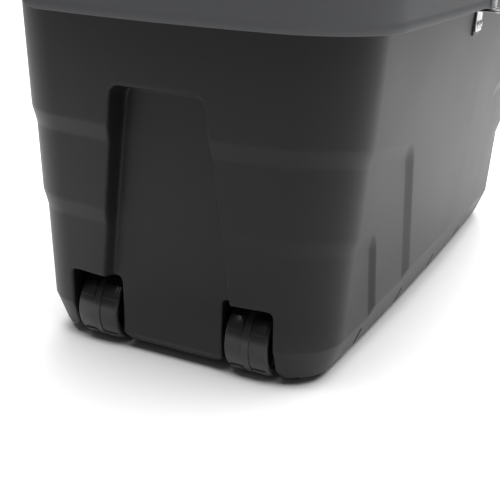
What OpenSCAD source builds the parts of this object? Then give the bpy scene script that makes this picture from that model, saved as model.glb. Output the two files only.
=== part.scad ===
// Wheeled deck storage box: a one-piece moulded tub with stepped panels, a
// hinged double-skin lid, steel padlock lugs, and two wide wheels in end wells.
// Frame: origin on the ground under the middle of the box, +X along its
// length, -Y to the front long side with the lugs, +Z up. Millimetres.

/* [Tub] */
// Length of the tub at ground level, before the draft
base_length = 1016; // [700:2:1300]
// Width of the tub at ground level, before the draft
base_width = 480; // [400:2:620]
// Height of the tub's rim above the ground
rim_z = 505; // [440:1:620]
// Height of the tub's underside above the ground
floor_z = 12; // [8:1:20]
// Outward lean of the walls, per millimetre of height
wall_draft = 0.055; // [0.03:0.005:0.07]
// Thickness of the tub's walls and floor
wall = 3.5; // [3:0.5:5]
// Radius of the tub's upright corners at ground level
corner_r = 86; // [65:1:95]
// Outward bow of each end wall
end_bow = 27; // [10:1:30]
// Outward bow of each long wall
side_bow = 10; // [4:1:16]

/* [Stepped panels] */
// Depth of each step
step_depth = 5; // [3:0.5:7]
// Height of each sloping step
step_height = 23; // [14:1:30]
// Top of the upper step
upper_step_z = 335; // [290:1:350]
// Top of the lower step
lower_step_z = 216; // [180:1:230]
// Half length of the middle panel at ground level, which is proud of both steps
upper_panel_half = 153; // [120:1:190]
// Half length at ground level of the panel that is proud of the lower step
lower_panel_half = 289; // [260:1:310]
// Widening of both panels' half lengths, per millimetre of height
panel_lean = 0.33; // [0.1:0.01:0.34]
// Fall of both steps' lines along the long sides, per millimetre from the corner
line_fall = 0.15; // [0:0.01:0.18]
// Width of the upper panel's sloping upright step
upper_side_w = 22; // [12:1:30]
// Width of the lower panel's sloping upright step
lower_side_w = 15; // [10:1:20]

/* [Tucked foot] */
// Height where the tucked foot leaves the middle panel
tuck_z = 89; // [70:1:100]
// Inward lean of the tucked foot, per millimetre of height
tuck_slope = 0.32; // [0.26:0.02:0.4]
// Width of each notch in the foot
notch_w = 7; // [4:1:10]
// Depth of each notch
notch_depth = 4; // [2:0.5:5]
// Height of the notches' tops
notch_top = 42; // [34:1:50]
// Distance between notches
notch_pitch = 178; // [150:1:180]
// Shift of the row of notches away from the wheel wells
notch_shift = 25; // [0:1:30]

/* [End recess] */
// Half width of the recess at ground level
recess_half_w = 110; // [90:1:115]
// Narrowing of the recess's half width, per millimetre of height
recess_taper = 0.11; // [0.05:0.01:0.12]
// Distance that the recess's face lies inside the end of the base length
recess_inset = 27.5; // [22:0.5:30]
// Height where the recess's face turns inward to its foot
recess_foot_z = 28; // [22:1:36]
// Height of the lifting ledge at the top of the recess
recess_top = 388; // [370:1:410]
// Width of the recess's sloping cheeks
recess_cheek = 7; // [4:1:10]

/* [Rim and lid] */
// Reach of the rim flange outside the wall
rim_reach = 14; // [10:1:16]
// Height of the rim flange's turned-down lip
rim_lip = 18; // [14:1:22]
// Gap between the rim flange and the lid's skirt
skirt_gap = 3; // [2.5:0.5:5]
// Thickness of the lid's outer skin
lid_skin = 3; // [2.5:0.5:4.5]
// Depth of the lid's skirt below the rim
skirt_drop = 31; // [25:1:36]
// Rise of the lid's shoulder above the rim
shoulder_rise = 46; // [36:1:56]
// Rise of the lid's crown above its shoulder
crown_rise = 24; // [12:1:30]
// Thickness of the lid's liner plate
liner_t = 2.5; // [2:0.5:4]

/* [Wheels] */
// Diameter of each wheel over its tread
wheel_d = 104; // [90:1:110]
// Width of each wheel
wheel_w = 64; // [50:1:66]
// Distance from the box's middle to the middle of a wheel's width
wheel_y = 117; // [110:1:122]
// Distance of the axles inside the end of the base length
axle_inset = 68; // [62:1:74]
// Diameter of the steel axles
axle_d = 10; // [8:1:12]
// Gap between a wheel's tread and the well's roof
well_gap = 8; // [6:1:10]
// Width of each wheel well
well_w = 77; // [74:1:82]
// Widening of each well's mouth at its foot, to each side
flare_w = 24; // [12:1:28]
// Height of the widening of each well's mouth
flare_h = 15; // [8:1:20]

/* [Hinges and lugs] */
// Distance from the box's middle to the middle of each hinge
hinge_x = 300; // [240:1:330]
// Width of each hinge
hinge_w = 60; // [50:2:80]
// Outer radius of the hinge knuckles
knuckle_r = 8; // [7:0.5:9]
// Diameter of the hinge pins
hinge_pin_d = 6; // [4:0.5:7]
// Width of the padlock lugs
lug_w = 34; // [30:1:44]
// Thickness of the padlock lugs' steel
lug_t = 2.5; // [2:0.5:3]
// Diameter of the hole for a padlock's shackle
shackle_hole_d = 9; // [7:0.5:10]

/* [Hidden] */

resin = [0.16, 0.16, 0.17];
wheel_black = [0.07, 0.07, 0.075];
steel = [0.62, 0.63, 0.65];
$fn = 64;

fit_gap = 0.05;         // running clearance of a pin in its bore, on the radius
part_gap = 0.4;         // clearance between pieces of different bodies
lap = 1;                // overrun of a cut past the face it opens
eps = 0.01;

// ---------------------------------------------------------------- plan outline
// The plan outline is made of an arc across each end, an arc along each side and
// a round corner, all tangent. Moving it outward keeps the three centres.
half_l = base_length / 2;
half_w = base_width / 2;
function bow_r(half, bow) = (half * half + bow * bow) / (2 * bow);
end_r = bow_r(half_w, end_bow);
side_r = bow_r(half_l, side_bow);
end_c = half_l - end_r;
side_c = half_w - side_r;
reach_e = end_r - corner_r;
reach_s = side_r - corner_r;
centres = norm([end_c, side_c]);
along = (reach_e * reach_e - reach_s * reach_s + centres * centres) / (2 * centres);
across = sqrt(reach_e * reach_e - along * along);
to_side = [-end_c, side_c] / centres;
corner_c = [end_c + along * to_side[0] - across * to_side[1], along * to_side[1] + across * to_side[0]];
corner_from = atan2(corner_c[1], corner_c[0] - end_c);
corner_to = atan2(corner_c[1] - side_c, corner_c[0]);
corner_steps = 8;

// Outward offset of the plain drafted wall at a height, less an inset
function lean(z, inset = 0) = wall_draft * z - inset;
function end_x(y, out) = end_c + sqrt(pow(end_r + out, 2) - y * y);
function side_y(x, out) = side_c + sqrt(pow(side_r + out, 2) - x * x);
function corner_pt(a, out) = corner_c + (corner_r + out) * [cos(a), sin(a)];
function corner_pts(out) = [for (i = [0:corner_steps])
    corner_pt(corner_from + (corner_to - corner_from) * i / corner_steps, out)];
function mirrored(q) = concat(q,
    [for (i = [len(q) - 2:-1:0]) [-q[i][0], q[i][1]]],
    [for (i = [1:len(q) - 1]) [-q[i][0], -q[i][1]]],
    [for (i = [len(q) - 2:-1:1]) [q[i][0], -q[i][1]]]);

// The plain outline, moved outward by out
function outline(out) = mirrored(concat(
    [for (y = [0, 60, 120]) [end_x(y, out), y]],
    corner_pts(out),
    [for (share = [0.72, 0.48, 0.24, 0]) [share * half_l, side_y(share * half_l, out)]]));

// A closed solid from rings of points, one above another, with flat ends
module loft(rings) {
    n = len(rings[0]);
    top = len(rings) - 1;
    sides = [for (k = [0:top - 1], i = [0:n - 1]) let (j = (i + 1) % n)
        each [[k * n + i, (k + 1) * n + i, (k + 1) * n + j], [k * n + i, (k + 1) * n + j, k * n + j]]];
    ends = [[for (i = [0:n - 1]) i], [for (i = [n - 1:-1:0]) top * n + i]];
    polyhedron(points = [for (r = rings) each r], faces = concat(sides, ends), convexity = 10);
}

function at_z(pts, z) = [for (p = pts) [p[0], p[1], z]];

// ------------------------------------------------------------------- tub walls
function clamp01(v) = max(0, min(1, v));
function fall(v, from, width) = clamp01((v - from) / width);

// Inset of the stepped panels and of the tucked foot at one place on the wall
// Rings of the long walls sink towards the middle of the box between the foot
// and the rim, so that the lines of both steps fall away from the corners
line_from = half_l - 30;
line_reach = 188;
line_foot = lower_step_z - step_height;
line_end_z = rim_z - 30;
function sunk(x, z) = line_fall * min(line_reach, max(0, line_from - abs(x)))
    * min(clamp01((z - tuck_z) / (line_foot - tuck_z)), clamp01((line_end_z - z) / (line_end_z - upper_step_z)));
function upper_edge(z) = upper_panel_half
    + panel_lean * (min(z, upper_step_z) - sunk(0, min(z, upper_step_z)));
function lower_edge(z) = lower_panel_half
    + panel_lean * (min(z, lower_step_z) - sunk(lower_panel_half + lower_side_w, min(z, lower_step_z)));
function panel_inset(x, z) =
    step_depth * fall(upper_step_z - z, 0, step_height) * fall(abs(x), upper_edge(z), upper_side_w)
    + step_depth * fall(lower_step_z - z, 0, step_height) * fall(abs(x), lower_edge(z), lower_side_w);
function tuck_inset(z) = max(0, (tuck_z - z) * tuck_slope);
// Outward offset of a ring of nominal height z at a place along the box
function wall_out(x, z) =
    let (height = z - sunk(x, z)) lean(height, max(panel_inset(x, z), tuck_inset(height)));
function sunk_ring(pts, z) = [for (p = pts) [p[0], p[1], z - sunk(p[0], z)]];

recess_face = half_l - recess_inset;
recess_lean = 0.04;
recess_foot_lean = 0.7;
ledge = 6;
function recess_edge(z) = recess_half_w - recess_taper * z;
function recess_x(z) = recess_face + recess_lean * z - recess_foot_lean * max(0, recess_foot_z - z);
function recess_on(z, grow) = fall(recess_top + grow - z, 0, ledge);
function recess_pt(y, z, out, grow) =
    let (face = end_x(y, out), deep = min(face, recess_x(z) - grow))
    [face + (deep - face) * recess_on(z, grow), y];

function unit(v) = v / norm(v);
// One quarter of the tub's outline at a height; grow thins it by the wall
function tub_quarter(z, grow) =
    let (
        out = wall_out(half_l, z) - grow,
        edge = recess_edge(z) + grow,
        corner = [for (p = corner_pts(out)) p + (wall_out(p[0], z) - wall_out(half_l, z)) * unit(p - corner_c)],
        shy = (edge + corner[0][1]) / 2,
        lower = lower_edge(z),
        upper = upper_edge(z),
        xs = [lower + lower_side_w, lower, (lower + upper + upper_side_w) / 2,
            upper + upper_side_w, upper, upper / 2, 0])
    concat(
        [for (y = [0, edge - recess_cheek]) recess_pt(y, z, out, grow)],
        [[end_x(edge, out), edge], [end_x(shy, out), shy]],
        corner,
        [for (x = xs) [x, side_y(x, wall_out(x, z) - grow)]]);

foot_round = 4;
wall_zs = [
    floor_z + foot_round, recess_foot_z, tuck_z - 2 * step_depth / tuck_slope, tuck_z - step_depth / tuck_slope, tuck_z,
    lower_step_z - step_height, lower_step_z, upper_step_z - step_height, upper_step_z,
    recess_top - ledge, recess_top
];
body_top = rim_z - wall / 2;

module tub_body() {
    loft(concat(
        [at_z(mirrored(tub_quarter(floor_z, foot_round - 1)), floor_z)],
        [for (z = wall_zs) sunk_ring(mirrored(tub_quarter(z, 0)), z)],
        [at_z(mirrored(tub_quarter(body_top, 0)), body_top)]));
}

cavity_z = floor_z + wall;
foot_wall = wall + notch_depth;
thick_top = notch_top + wall;
module tub_cavity() {
    loft(concat(
        [for (z = [cavity_z, recess_foot_z + wall, thick_top]) at_z(mirrored(tub_quarter(z, foot_wall)), z)],
        [for (z = wall_zs) if (z > thick_top + wall)
            let (high = z < recess_top - ledge ? z : z + wall)
            sunk_ring(mirrored(tub_quarter(high, wall)), high)],
        [at_z(mirrored(tub_quarter(rim_z + lap, wall)), rim_z + lap)]));
}

rim_out = lean(rim_z) + rim_reach;
module rim() {
    lip_w = 4;
    translate([0, 0, rim_z - wall]) linear_extrude(wall) difference() {
        polygon(outline(rim_out));
        polygon(outline(lean(rim_z) - wall / 2));
    }
    translate([0, 0, rim_z - rim_lip]) linear_extrude(rim_lip) difference() {
        polygon(outline(rim_out));
        polygon(outline(rim_out - lip_w));
    }
}

// -------------------------------------------------------------- wells and axles
axle_x = -(half_l - axle_inset);
axle_z = wheel_d / 2;
well_roof = wheel_d + well_gap;
well_back = axle_x + wheel_d / 2 + well_gap;
axle_bore_r = axle_d / 2 + fit_gap;
boss_r = axle_d / 2 + 7;
boss_len = 12;
head_t = 3;

// The well's cross-section has a quarter ellipse at each foot
module well_space(grow) {
    x0 = -half_l - 40;
    half = well_w / 2 + grow;
    foot = concat(
        [[half, well_roof + grow]],
        [for (up = [1, 0.5, 0.2, 0.05])
            [half + flare_w * (1 - sqrt(1 - (1 - up) * (1 - up))), floor_z + grow + flare_h * up]],
        [[half + flare_w, floor_z - lap - grow]]);
    translate([x0, wheel_y, 0]) rotate([90, 0, 90]) linear_extrude(well_back + grow - x0)
        polygon(concat(foot, [for (i = [len(foot) - 1:-1:0]) [-foot[i][0], foot[i][1]]]));
}
module axle_bosses() {
    translate([axle_x, wheel_y, axle_z]) rotate([90, 0, 0])
        cylinder(r = boss_r, h = well_w + 2 * (wall + boss_len), center = true);
}
module axle_bores() {
    far = well_w / 2 + wall + boss_len;
    translate([axle_x, wheel_y - far - lap, axle_z]) rotate([-90, 0, 0])
        cylinder(r = axle_bore_r, h = 2 * far + lap - wall);
}
module both_sides() {
    children();
    mirror([0, 1, 0]) children();
}

// ------------------------------------------------------------------------ feet
foot_x = half_l - 90;
foot_y = half_w - 75;
foot_r = 20;
spigot_r = 6;
spigot_len = wall + 6;
foot_boss_r = spigot_r + 6;

module foot(side) {
    color(wheel_black) translate([foot_x, side * foot_y, 0]) {
        cylinder(r1 = foot_r - 2, r2 = foot_r, h = 2);
        translate([0, 0, 2]) cylinder(r = foot_r, h = floor_z - 2);
        cylinder(r = spigot_r, h = floor_z + spigot_len - 0.5);
    }
}
module foot_bosses() {
    translate([foot_x, foot_y, floor_z]) cylinder(r = foot_boss_r, h = spigot_len + wall);
}
module foot_sockets() {
    translate([foot_x, foot_y, floor_z - lap]) cylinder(r = spigot_r + fit_gap, h = spigot_len + lap);
}

// --------------------------------------------------------------------- notches
module notches() {
    lean_deg = atan(tuck_slope);
    for (k = [-2:2]) {
        x = k * notch_pitch + notch_shift;
        y = side_y(x, lean(floor_z, tuck_inset(floor_z)));
        translate([x, y, floor_z]) rotate([-lean_deg, 0, 0])
            translate([-notch_w / 2, -notch_depth, -20])
                cube([notch_w, 40, (notch_top - floor_z) / cos(lean_deg) + 20]);
    }
}

// ---------------------------------------------------------------- hinge places
hinge_z = rim_z - knuckle_r;
skirt_in = rim_out + skirt_gap;
skirt_out = skirt_in + lid_skin;
hinge_back = side_y(hinge_x, skirt_out);
arm_t = 3.5;
land_t = 3.5;
hinge_y = hinge_back + land_t + knuckle_r;
plate_t = 4;
pad_y = half_w + lean(rim_z) - 3;
pad_top = rim_z - rim_lip - 3;
pad_bottom = pad_top - 75;
hinge_bore_r = hinge_pin_d / 2 + fit_gap;
mid_knuckle_w = hinge_w * 0.45;
screw_r = 2.5;
screw_head_r = 5;
screw_head_t = 2.5;
plate_screw_zs = [pad_bottom + 16, pad_bottom + 50];
hinge_screw_x = hinge_w / 2 - 12;

module hinge_pads() {
    for (s = [-1, 1])
        translate([s * hinge_x - hinge_w / 2 - 4, pad_y - 30, pad_bottom])
            cube([hinge_w + 8, 30, pad_top - pad_bottom]);
}
module screw(length) {
    cylinder(r = screw_r, h = length);
    translate([0, 0, -screw_head_t]) cylinder(r = screw_head_r, h = screw_head_t);
}
screw_len = 9;
module hinge_plate_screw_holes() {
    for (s = [-1, 1], dx = [-1, 1], z = plate_screw_zs)
        translate([s * hinge_x + dx * hinge_screw_x, pad_y + lap, z]) rotate([90, 0, 0])
            cylinder(r = screw_r + fit_gap, h = screw_len);
}

// ----------------------------------------------------------------- lug places
// Both lugs stand level with the back of the hinges, so the box stays centred
skirt_z = rim_z - skirt_drop;
lug_end = -(hinge_y + knuckle_r);
shackle_y = lug_end + 3.5 + shackle_hole_d / 2;
lug_gap = 0.8;
lid_lug_z = skirt_z - 5;
tub_lug_z = lid_lug_z - lug_gap - lug_t;
lug_pad_y = -(half_w + lean(tub_lug_z + lug_t) + 1);
lug_plate_h = 34;
lid_lug_h = 60;
lug_screw_dx = lug_w / 2 - 8;
lid_lug_face = -side_y(0, skirt_out) - 0.2;

module lug_pad() {
    translate([-lug_w / 2 - 3, lug_pad_y, tub_lug_z + lug_t - lug_plate_h - 3])
        cube([lug_w + 6, 30, lug_plate_h + 6]);
}
module tub_lug_screw_places() {
    for (dx = [-1, 1]) translate([dx * lug_screw_dx, lug_pad_y, tub_lug_z - lug_plate_h + 14]) children();
}
module lid_lug_screw_places() {
    for (dx = [-1, 1]) translate([dx * lug_screw_dx, lid_lug_face, lid_lug_z + lid_lug_h - 10]) children();
}

// ------------------------------------------------------------------ tub pieces
module tub() {
    color(resin) difference() {
        union() {
            tub_body();
            rim();
            hinge_pads();
            lug_pad();
        }
        difference() {
            tub_cavity();
            both_sides() {
                well_space(wall);
                axle_bosses();
                foot_bosses();
            }
        }
        both_sides() {
            well_space(0);
            axle_bores();
            foot_sockets();
            notches();
        }
        hinge_plate_screw_holes();
        tub_lug_screw_places() rotate([-90, 0, 0]) translate([0, 0, -lap])
            cylinder(r = screw_r + fit_gap, h = screw_len);
    }
}

module axle(side) {
    far = well_w / 2 + wall + boss_len;
    color(steel) mirror([0, side < 0 ? 1 : 0, 0]) translate([axle_x, wheel_y, axle_z]) rotate([-90, 0, 0]) {
        translate([0, 0, -far]) cylinder(r = axle_d / 2, h = 2 * far - wall - 0.5);
        translate([0, 0, -far - head_t]) cylinder(r = axle_d / 2 + 4, h = head_t);
    }
}
slack = (well_w - wheel_w) / 2;
module axle_ring(y, r_out, t) {
    translate([axle_x, y, axle_z]) rotate([-90, 0, 0]) difference() {
        cylinder(r = r_out, h = t);
        translate([0, 0, -lap]) cylinder(r = axle_bore_r, h = t + 2 * lap);
    }
}
module axle_clips() {
    color(steel) both_sides() axle_ring(wheel_y - well_w / 2 + slack * 0.3, axle_d / 2 + 4, 1.2);
}
module axle_washers() {
    color(steel) both_sides() axle_ring(wheel_y + well_w / 2 - slack * 0.7, axle_d / 2 + 6, 1.6);
}

// ---------------------------------------------------------------------- hinges
module hinge_bore() {
    translate([-hinge_w, hinge_y, hinge_z]) rotate([0, 90, 0]) cylinder(r = hinge_bore_r, h = 2 * hinge_w);
}
module hinge_plate(side) {
    web_top = rim_z - rim_lip - 1.5;
    web_t = 5;
    color(resin) translate([side * hinge_x, 0, 0]) difference() {
        union() {
            translate([-hinge_w / 2, pad_y, pad_bottom + 4]) cube([hinge_w, plate_t, web_top - pad_bottom - 4]);
            translate([-hinge_w / 2, pad_y, web_top - web_t])
                cube([hinge_w, hinge_y + knuckle_r - pad_y, web_t]);
            difference() {
                union() {
                    translate([-hinge_w / 2, hinge_y, hinge_z]) rotate([0, 90, 0])
                        cylinder(r = knuckle_r, h = hinge_w);
                    translate([-hinge_w / 2, hinge_y, web_top - web_t])
                        cube([hinge_w, knuckle_r, hinge_z - web_top + web_t]);
                }
                translate([-mid_knuckle_w / 2 - part_gap, hinge_y - 3 * knuckle_r, web_top + eps])
                    cube([mid_knuckle_w + 2 * part_gap, 6 * knuckle_r, 4 * knuckle_r]);
            }
        }
        hinge_bore();
        for (dx = [-1, 1], z = plate_screw_zs)
            translate([dx * hinge_screw_x, pad_y - lap, z]) rotate([-90, 0, 0])
                cylinder(r = screw_r + fit_gap, h = plate_t + 2 * lap);
    }
}
module hinge_plate_screws() {
    color(steel) for (s = [-1, 1], dx = [-1, 1], z = plate_screw_zs)
        translate([s * hinge_x + dx * hinge_screw_x, pad_y + plate_t, z]) rotate([90, 0, 0])
            screw(plate_t + screw_len - 2);
}
module hinge_pin(side) {
    color(steel) translate([side * hinge_x - hinge_w / 2, hinge_y, hinge_z]) rotate([0, 90, 0]) {
        cylinder(r = hinge_pin_d / 2, h = hinge_w + 1);
        translate([0, 0, -2.5]) cylinder(r = hinge_pin_d / 2 + 2, h = 2.5);
        translate([0, 0, hinge_w]) cylinder(r = hinge_pin_d / 2 + 2, h = 2.5);
    }
}
arm_top = rim_z + shoulder_rise - 14;
arm_foot = rim_z + 2;
arm_face = hinge_y - knuckle_r;
arm_screw_z = rim_z + 20;
module hinge_arm(side) {
    color(resin) translate([side * hinge_x, 0, 0]) difference() {
        union() {
            translate([-hinge_w / 2, arm_face, arm_foot]) cube([hinge_w, arm_t, arm_top - arm_foot]);
            translate([-mid_knuckle_w / 2, hinge_y, hinge_z]) rotate([0, 90, 0])
                cylinder(r = knuckle_r, h = mid_knuckle_w);
            translate([-mid_knuckle_w / 2, arm_face, hinge_z])
                cube([mid_knuckle_w, arm_t, arm_foot - hinge_z + lap]);
        }
        hinge_bore();
        for (dx = [-1, 1])
            translate([dx * hinge_screw_x, arm_face - lap, arm_screw_z]) rotate([-90, 0, 0])
                cylinder(r = screw_r + fit_gap, h = arm_t + 2 * lap);
    }
}
arm_screw_len = 14;
module hinge_arm_screws() {
    color(steel) for (s = [-1, 1], dx = [-1, 1])
        translate([s * hinge_x + dx * hinge_screw_x, arm_face + arm_t, arm_screw_z]) rotate([90, 0, 0])
            screw(arm_screw_len);
}

// ------------------------------------------------------------------------- lid
shoulder_z = rim_z + shoulder_rise;
crown_z = shoulder_z + crown_rise;
function lid_rings(grow) = [
    at_z(outline(skirt_out - grow), skirt_z - (grow > 0 ? lap : 0)),
    at_z(outline(skirt_out - 2.5 - grow), shoulder_z - 10 - grow),
    at_z(outline(skirt_out - 6 - grow), shoulder_z - 3 - grow),
    at_z(outline(skirt_out - 14 - grow), shoulder_z - grow),
    at_z(outline(skirt_out - 50 - grow), shoulder_z + 0.5 * crown_rise - grow),
    at_z(outline(skirt_out - 110 - grow), shoulder_z + 0.85 * crown_rise - grow),
    at_z(outline(0.3 * grow - corner_r + 12), crown_z - grow)
];
boss_xs = [-1, -0.33, 0.33, 1] * (half_l - 75);
liner_boss_y = half_w - 50;
liner_boss_r = 6;
liner_z = rim_z + 0.5;
liner_out = skirt_in - 4;
liner_screw_len = 11;

module liner_boss_places() {
    for (x = boss_xs, s = [-1, 1]) translate([x, s * liner_boss_y, liner_z + liner_t]) children();
}
module back_relief() {
    translate([-half_l * 2, 0, 0]) rotate([90, 0, 90]) linear_extrude(half_l * 4)
        polygon([[half_w - 72, skirt_z - 20], [half_w - 72, skirt_z], [half_w - 14, rim_z - 2],
            [half_w + 120, rim_z - 2], [half_w + 120, skirt_z - 20]]);
}
land_depth = 9;
land_z = liner_z + liner_t + 1;
module hinge_lands() {
    for (s = [-1, 1])
        translate([s * hinge_x - hinge_w / 2 - 3, arm_face - land_depth, land_z])
            cube([hinge_w + 6, land_depth, arm_top + 3 - land_z]);
}
module lug_land() {
    translate([-lug_w / 2 - 3, lid_lug_face, land_z])
        cube([lug_w + 6, lid_skin, lid_lug_z + lid_lug_h + 3 - land_z]);
}
module lid_shell() {
    color(resin) difference() {
        union() {
            difference() {
                loft(lid_rings(0));
                loft(lid_rings(lid_skin));
                back_relief();
            }
            intersection() {
                liner_boss_places() cylinder(r = liner_boss_r, h = 80);
                loft(lid_rings(lid_skin / 2));
            }
            hinge_lands();
            lug_land();
        }
        liner_boss_places() translate([0, 0, -lap]) cylinder(r = screw_r + fit_gap, h = liner_screw_len + lap);
        for (s = [-1, 1], dx = [-1, 1])
            translate([s * hinge_x + dx * hinge_screw_x, arm_face + lap, arm_screw_z]) rotate([90, 0, 0])
                cylinder(r = screw_r + fit_gap, h = arm_screw_len);
        lid_lug_screw_places() rotate([-90, 0, 0]) translate([0, 0, -lap])
            cylinder(r = screw_r + fit_gap, h = 12);
    }
}
rib_h = 14;
rib_t = 2.5;
module lid_liner() {
    rib_y = liner_boss_y - 25;
    rib_x = half_l - 40;
    color(resin) difference() {
        union() {
            translate([0, 0, liner_z]) linear_extrude(liner_t) polygon(outline(liner_out));
            for (k = [-3:3])
                translate([k * rib_x / 3 - rib_t / 2, -rib_y, liner_z + liner_t / 2])
                    cube([rib_t, 2 * rib_y, rib_h + liner_t / 2]);
            for (k = [-1:1])
                translate([-rib_x, k * rib_y - rib_t / 2, liner_z + liner_t / 2])
                    cube([2 * rib_x, rib_t, rib_h + liner_t / 2]);
        }
        liner_boss_places() translate([0, 0, -liner_t - lap]) cylinder(r = screw_r + fit_gap, h = liner_t + 2 * lap);
        // countersunk pockets keep the screw heads clear of the rim plane
        liner_boss_places() translate([0, 0, -liner_t - lap]) cylinder(r = screw_head_r + 0.3, h = 1.5 + lap);
    }
}
module liner_screws() {
    color(steel) liner_boss_places() translate([0, 0, -liner_t + 0.2]) {
        cylinder(r = screw_r, h = liner_t + liner_screw_len - 1);
        cylinder(r = screw_head_r, h = 1.3);
    }
}

// ---------------------------------------------------------------- padlock lugs
module lug_tab(face, z) {
    nose_r = 8;
    difference() {
        union() {
            translate([-lug_w / 2, lug_end + nose_r, z]) cube([lug_w, face - lug_end - nose_r, lug_t]);
            translate([-lug_w / 2 + nose_r, lug_end, z]) cube([lug_w - 2 * nose_r, nose_r + lap, lug_t]);
            for (s = [-1, 1]) translate([s * (lug_w / 2 - nose_r), lug_end + nose_r, z])
                cylinder(r = nose_r, h = lug_t);
        }
        translate([0, shackle_y, z - lap]) cylinder(r = shackle_hole_d / 2, h = lug_t + 2 * lap);
    }
}
module tub_lug() {
    color(steel) difference() {
        union() {
            lug_tab(lug_pad_y, tub_lug_z);
            translate([-lug_w / 2, lug_pad_y - lug_t, tub_lug_z + lug_t - lug_plate_h])
                cube([lug_w, lug_t, lug_plate_h]);
        }
        tub_lug_screw_places() rotate([90, 0, 0]) translate([0, 0, -lap])
            cylinder(r = screw_r + fit_gap, h = lug_t + 2 * lap);
    }
}
module tub_lug_screws() {
    color(steel) tub_lug_screw_places() translate([0, -lug_t, 0]) rotate([-90, 0, 0])
        screw(lug_t + screw_len - 2);
}
module lid_lug() {
    color(steel) difference() {
        union() {
            lug_tab(lid_lug_face, lid_lug_z);
            translate([-lug_w / 2, lid_lug_face - lug_t, lid_lug_z]) cube([lug_w, lug_t, lid_lug_h]);
        }
        lid_lug_screw_places() rotate([90, 0, 0]) translate([0, 0, -lap])
            cylinder(r = screw_r + fit_gap, h = lug_t + 2 * lap);
    }
}
module lid_lug_screws() {
    color(steel) lid_lug_screw_places() translate([0, -lug_t, 0]) rotate([-90, 0, 0])
        screw(lug_t + 9);
}

// ---------------------------------------------------------------------- wheels
tyre_t = 7;
tread_pads = 4;
pad_arc = 26;
pad_from = 39;
pad_rise = 1.6;
band = 5;
module wheel_place(side) {
    translate([axle_x, side * wheel_y, axle_z]) rotate([-90, 0, 0]) children();
}
module wheel_hub(side) {
    r = wheel_d / 2 - tyre_t;
    w = wheel_w / 2;
    color(wheel_black) wheel_place(side) {
        rotate_extrude() polygon([
            [axle_bore_r, -w], [axle_bore_r + 7, -w], [axle_bore_r + 7, -3], [r - 5, -3], [r - 5, -w + 2],
            [r, -w + 2], [r, w - 2], [r - 5, w - 2], [r - 5, 3], [axle_bore_r + 7, 3],
            [axle_bore_r + 7, w], [axle_bore_r, w]]);
        for (k = [0:5], s = [-1, 1]) rotate([0, 0, 60 * k])
            translate([axle_bore_r + 6, -1.5, s > 0 ? 2 : -w + 6])
                cube([r - axle_bore_r - 10, 3, w - 8]);
    }
}
// A smooth tyre with a raised middle band and a few raised pads on each side
module wheel_tyre(side) {
    r = wheel_d / 2;
    w = wheel_w / 2;
    core = r - pad_rise;
    color(wheel_black) wheel_place(side) {
        rotate_extrude() polygon([
            [r - tyre_t, -w], [core - 3, -w], [core, -w + 3], [core, -band], [r, -band],
            [r, band], [core, band], [core, w - 3], [core - 3, w], [r - tyre_t, w]]);
        for (k = [0:tread_pads - 1], s = [-1, 1])
            rotate([0, 0, 180 + 90 * side - side * (pad_from + pad_arc / 2) - pad_arc / 2 + k * 360 / tread_pads])
                rotate_extrude(angle = pad_arc) polygon([
                    [core - 1, s * (band + pad_rise)], [r, s * (band + pad_rise)],
                    [r, s * (w - 5)], [core - 1, s * (w - 3)]]);
    }
}

tub();
foot(1);  // foot_left
foot(-1);  // foot_right
axle(1);  // axle_left
axle(-1);  // axle_right
axle_clips();
axle_washers();
hinge_plate(-1);  // hinge_plate_left
hinge_plate(1);  // hinge_plate_right
hinge_plate_screws();
hinge_pin(-1);  // hinge_pin_left
hinge_pin(1);  // hinge_pin_right
tub_lug();
tub_lug_screws();
lid_shell();
lid_liner();
liner_screws();
hinge_arm(-1);  // hinge_arm_left
hinge_arm(1);  // hinge_arm_right
hinge_arm_screws();
lid_lug();
lid_lug_screws();
wheel_hub(1);  // wheel_left_hub
wheel_tyre(1);  // wheel_left_tyre
wheel_hub(-1);  // wheel_right_hub
wheel_tyre(-1);  // wheel_right_tyre
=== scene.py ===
"""Wheeled deck storage box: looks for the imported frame.

A one-piece moulded tub with stepped panels, lifting recesses, wheel wells and a
tucked foot, a hinged lid with a liner, two wheels on steel axles, steel padlock
lugs and button-head screws. Sizes are in millimetres in the classes and are
turned to metres when a mesh is written. The origin is on the ground under the
middle of the box, +X runs along its length and -Y is the front.
"""

import logging
import math
from dataclasses import dataclass, replace
from enum import Enum
from typing import Callable, Iterable, Sequence

import bmesh
import bpy
from mathutils import Matrix, Vector


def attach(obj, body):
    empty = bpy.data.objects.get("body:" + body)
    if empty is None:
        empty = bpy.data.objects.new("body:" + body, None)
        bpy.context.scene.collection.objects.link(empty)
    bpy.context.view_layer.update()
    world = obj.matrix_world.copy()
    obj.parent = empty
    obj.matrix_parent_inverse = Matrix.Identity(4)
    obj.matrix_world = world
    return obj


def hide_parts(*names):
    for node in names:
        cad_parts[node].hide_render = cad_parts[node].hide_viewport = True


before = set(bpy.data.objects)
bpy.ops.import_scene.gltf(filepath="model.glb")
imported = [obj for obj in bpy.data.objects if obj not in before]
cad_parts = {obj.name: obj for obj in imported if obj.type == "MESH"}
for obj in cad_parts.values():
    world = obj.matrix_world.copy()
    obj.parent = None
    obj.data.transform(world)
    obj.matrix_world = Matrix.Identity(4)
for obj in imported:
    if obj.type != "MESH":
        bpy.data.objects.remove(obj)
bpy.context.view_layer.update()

MM = 0.001
LOG = logging.getLogger("deck_box")
Point = tuple[float, float]
Ring = Callable[[int], tuple[float, float, float]]


# ------------------------------------------------------------------ small maths
def soft(value: float, radius: float) -> float:
    """Return max(0, value) with its corner rounded over the radius."""
    if value <= -radius:
        return 0.0
    if value >= radius:
        return value
    return (value + radius) ** 2 / (4 * radius)


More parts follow.
